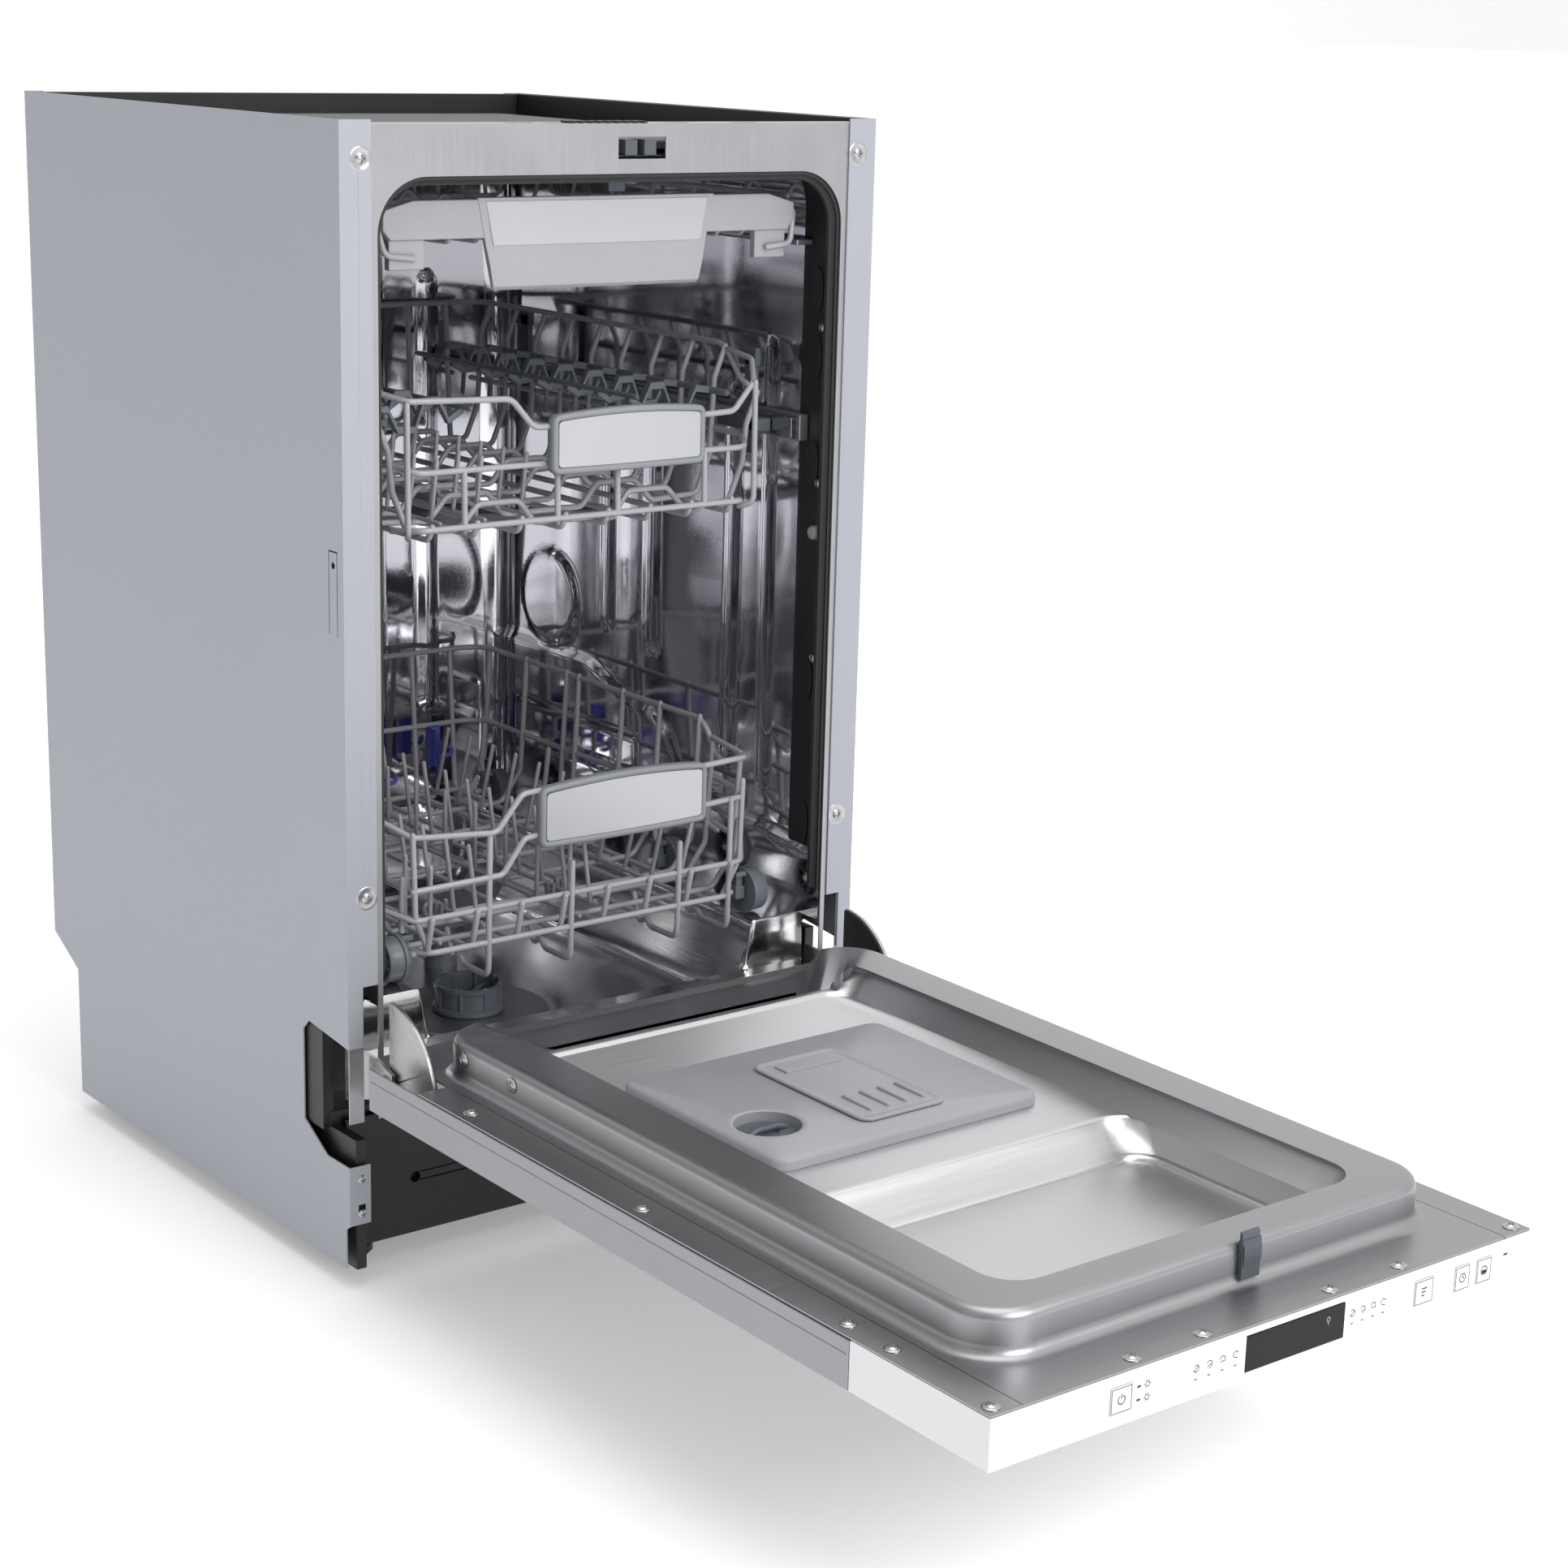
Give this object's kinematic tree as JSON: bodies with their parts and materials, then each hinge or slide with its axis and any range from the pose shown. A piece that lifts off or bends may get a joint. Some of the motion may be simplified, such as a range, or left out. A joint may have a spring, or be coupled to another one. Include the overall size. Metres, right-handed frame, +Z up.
{
  "type": "built in dishwasher",
  "caption": "Slimline built-in dishwasher with a drop-down door, sliding wheeled wire racks, a cutlery tray and a sunk wash tub.",
  "frame": {"origin": "on the floor with the feet wound in, half way across, in the plane of the cabinet's front flange", "axes": "+X to the right seen from the front, +Y towards the back, +Z up; the open door lies along -Y"},
  "size_m": [0.448, 1.1505, 0.815],
  "materials": {
    "panel_grey": "satin",
    "frame_steel": "satin",
    "tub_steel": "polished",
    "liner_steel": "satin",
    "black_plastic": "matt",
    "grey_plastic": "matt",
    "blue_grey_plastic": "matt",
    "white_plastic": "satin",
    "black_window": "gloss",
    "rubber": "matt",
    "mat": "matt",
    "galvanised": "dull",
    "coated_wire": "satin",
    "blue_clip": "satin",
    "pale_plastic": "matt",
    "screw_steel": "bright",
    "silver_plastic": "satin"
  },
  "bodies": {
    "cabinet": {"base_tray": "black_plastic", "toe_plate": "black_plastic", "side_panel_left": "panel_grey", "side_panel_right": "panel_grey", "front_frame": "frame_steel", "cabinet_screws": "screw_steel", "sound_mat": "mat", "tub_wrapper": "tub_steel", "tub_back": "tub_steel", "tub_floor": "tub_steel", "gasket": "rubber", "latch_strike": "grey_plastic", "hinge_brackets": "galvanised", "sump": "pale_plastic", "wash_pump": "grey_plastic", "drain_pump": "black_plastic", "softener": "pale_plastic", "inlet_valve": "pale_plastic", "cable_gland": "black_plastic", "spray_feed_pipe": "grey_plastic", "filter_mesh": "frame_steel", "wall_rails": "frame_steel"},
    "door": {"door_liner": "liner_steel", "door_skin": "frame_steel", "control_panel": "white_plastic", "display_window": "black_window", "latch_tongue": "grey_plastic", "dispenser": "grey_plastic", "hinge_levers": "galvanised", "door_screws": "screw_steel"},
    "lower_rack": {"lower_rack": "coated_wire", "lower_rack_handle": "silver_plastic", "tine_clips": "blue_clip"},
    "upper_rack": {"upper_rack": "coated_wire", "upper_rack_handle": "silver_plastic", "upper_spray_tube": "grey_plastic"},
    "cutlery_tray": {"cutlery_tray": "coated_wire", "cutlery_tray_handle": "silver_plastic"},
    "rack_runners": {"rack_runners": "frame_steel"},
    "lower_spray_arm": {"lower_spray_arm": "blue_grey_plastic"},
    "upper_spray_arm": {"upper_spray_arm": "grey_plastic"},
    "filter_cylinder": {"filter_cylinder": "grey_plastic"},
    "salt_cap": {"salt_cap": "grey_plastic"},
    "foot_front_left": {"foot_front_left": "black_plastic"},
    "foot_front_right": {"foot_front_right": "black_plastic"},
    "foot_rear": {"foot_rear": "black_plastic"},
    "button_power": {"button_power": "white_plastic"},
    "button_programme": {"button_programme": "white_plastic"},
    "button_delay": {"button_delay": "white_plastic"},
    "button_half_load": {"button_half_load": "white_plastic"},
    "detergent_lid": {"detergent_lid": "grey_plastic"},
    "rinse_cap": {"rinse_cap": "grey_plastic"},
    "plate_tines_left": {"plate_tines_left": "coated_wire"},
    "plate_tines_right": {"plate_tines_right": "coated_wire"},
    "cup_shelf_left": {"cup_shelf_left": "grey_plastic"},
    "cup_shelf_right": {"cup_shelf_right": "grey_plastic"},
    "wheels_1": {"wheels_1": "blue_grey_plastic"},
    "wheels_2": {"wheels_2": "blue_grey_plastic"},
    "wheels_3": {"wheels_3": "blue_grey_plastic"},
    "wheels_4": {"wheels_4": "blue_grey_plastic"}
  },
  "joints": [
    {"name": "basket_lower_slide", "type": "slide", "parent": "cabinet", "child": "lower_rack", "axis": [0, -1, 0], "range_m": [0, 0.435]},
    {"name": "basket_upper_slide", "type": "slide", "parent": "cabinet", "child": "upper_rack", "axis": [0, -1, 0], "range_m": [0, 0.38]},
    {"name": "cutlery_tray_slide", "type": "slide", "parent": "cabinet", "child": "cutlery_tray", "axis": [0, -1, 0], "range_m": [0, 0.36]},
    {"name": "door_hinge", "type": "hinge", "parent": "cabinet", "child": "door", "pos_m": [0, -0.022, 0.16], "axis": [1, 0, 0], "range_deg": [-90, 0]},
    {"name": "runner_slide", "type": "slide", "parent": "cabinet", "child": "rack_runners", "axis": [0, -1, 0], "range_m": [0, 0.19]},
    {"name": "lower_arm_spin", "type": "hinge", "parent": "cabinet", "child": "lower_spray_arm", "pos_m": [0, 0.245, 0.18], "axis": [0, 0, 1], "continuous": true},
    {"name": "upper_arm_spin", "type": "hinge", "parent": "upper_rack", "child": "upper_spray_arm", "pos_m": [0, 0.245, 0.51], "axis": [0, 0, 1], "continuous": true},
    {"name": "filter_twist", "type": "hinge", "parent": "cabinet", "child": "filter_cylinder", "pos_m": [-0.045, 0.13, 0.14], "axis": [0, 0, 1], "range_deg": [0, 90]},
    {"name": "salt_cap_twist", "type": "hinge", "parent": "cabinet", "child": "salt_cap", "pos_m": [-0.11, 0.06, 0.14], "axis": [0, 0, 1], "range_deg": [0, 360]},
    {"name": "detergent_lid_slide", "type": "slide", "parent": "door", "child": "detergent_lid", "axis": [1, 0, 0], "range_m": [0, 0.066]},
    {"name": "rinse_cap_twist", "type": "hinge", "parent": "door", "child": "rinse_cap", "pos_m": [-0.084, -0.296, 0.186], "axis": [0, 0, 1], "range_deg": [0, 90]},
    {"name": "tines_left_fold", "type": "hinge", "parent": "lower_rack", "child": "plate_tines_left", "pos_m": [-0.078, 0.2, 0.2325], "axis": [0, 1, 0], "range_deg": [0, 80]},
    {"name": "tines_right_fold", "type": "hinge", "parent": "lower_rack", "child": "plate_tines_right", "pos_m": [0.022, 0.2, 0.2325], "axis": [0, 1, 0], "range_deg": [0, 80]},
    {"name": "cup_shelf_right_fold", "type": "hinge", "parent": "upper_rack", "child": "cup_shelf_right", "pos_m": [0.148, 0.24, 0.61], "axis": [0, 1, 0], "range_deg": [0, 80]},
    {"name": "cup_shelf_left_fold", "type": "hinge", "parent": "upper_rack", "child": "cup_shelf_left", "pos_m": [-0.148, 0.24, 0.61], "axis": [0, -1, 0], "range_deg": [0, 80]},
    {"name": "button_power_press", "type": "slide", "parent": "door", "child": "button_power", "axis": [0, 1, 0], "range_m": [0, 0.0015]},
    {"name": "button_programme_press", "type": "slide", "parent": "door", "child": "button_programme", "axis": [0, 1, 0], "range_m": [0, 0.0015]},
    {"name": "button_delay_press", "type": "slide", "parent": "door", "child": "button_delay", "axis": [0, 1, 0], "range_m": [0, 0.0015]},
    {"name": "button_half_load_press", "type": "slide", "parent": "door", "child": "button_half_load", "axis": [0, 1, 0], "range_m": [0, 0.0015]},
    {"name": "foot_front_left_height", "type": "slide", "parent": "cabinet", "child": "foot_front_left", "axis": [0, 0, -1], "range_m": [0, 0.025]},
    {"name": "foot_front_right_height", "type": "slide", "parent": "cabinet", "child": "foot_front_right", "axis": [0, 0, -1], "range_m": [0, 0.025]},
    {"name": "foot_rear_height", "type": "slide", "parent": "cabinet", "child": "foot_rear", "axis": [0, 0, -1], "range_m": [0, 0.025]},
    {"name": "wheels_1_roll", "type": "hinge", "parent": "lower_rack", "child": "wheels_1", "pos_m": [0, 0.05, 0.2243], "axis": [1, 0, 0], "continuous": true},
    {"name": "wheels_2_roll", "type": "hinge", "parent": "lower_rack", "child": "wheels_2", "pos_m": [0, 0.155, 0.2243], "axis": [1, 0, 0], "continuous": true},
    {"name": "wheels_3_roll", "type": "hinge", "parent": "lower_rack", "child": "wheels_3", "pos_m": [0, 0.315, 0.2243], "axis": [1, 0, 0], "continuous": true},
    {"name": "wheels_4_roll", "type": "hinge", "parent": "lower_rack", "child": "wheels_4", "pos_m": [0, 0.415, 0.2243], "axis": [1, 0, 0], "continuous": true}
  ],
  "couplings": [
    {"joint": "runner_slide", "follows": "basket_upper_slide", "ratio": 0.5},
    {"joint": "wheels_1_roll", "follows": "basket_lower_slide", "rad_per_m": 55.556},
    {"joint": "wheels_2_roll", "follows": "basket_lower_slide", "rad_per_m": 55.556},
    {"joint": "wheels_3_roll", "follows": "basket_lower_slide", "rad_per_m": 55.556},
    {"joint": "wheels_4_roll", "follows": "basket_lower_slide", "rad_per_m": 55.556}
  ]
}
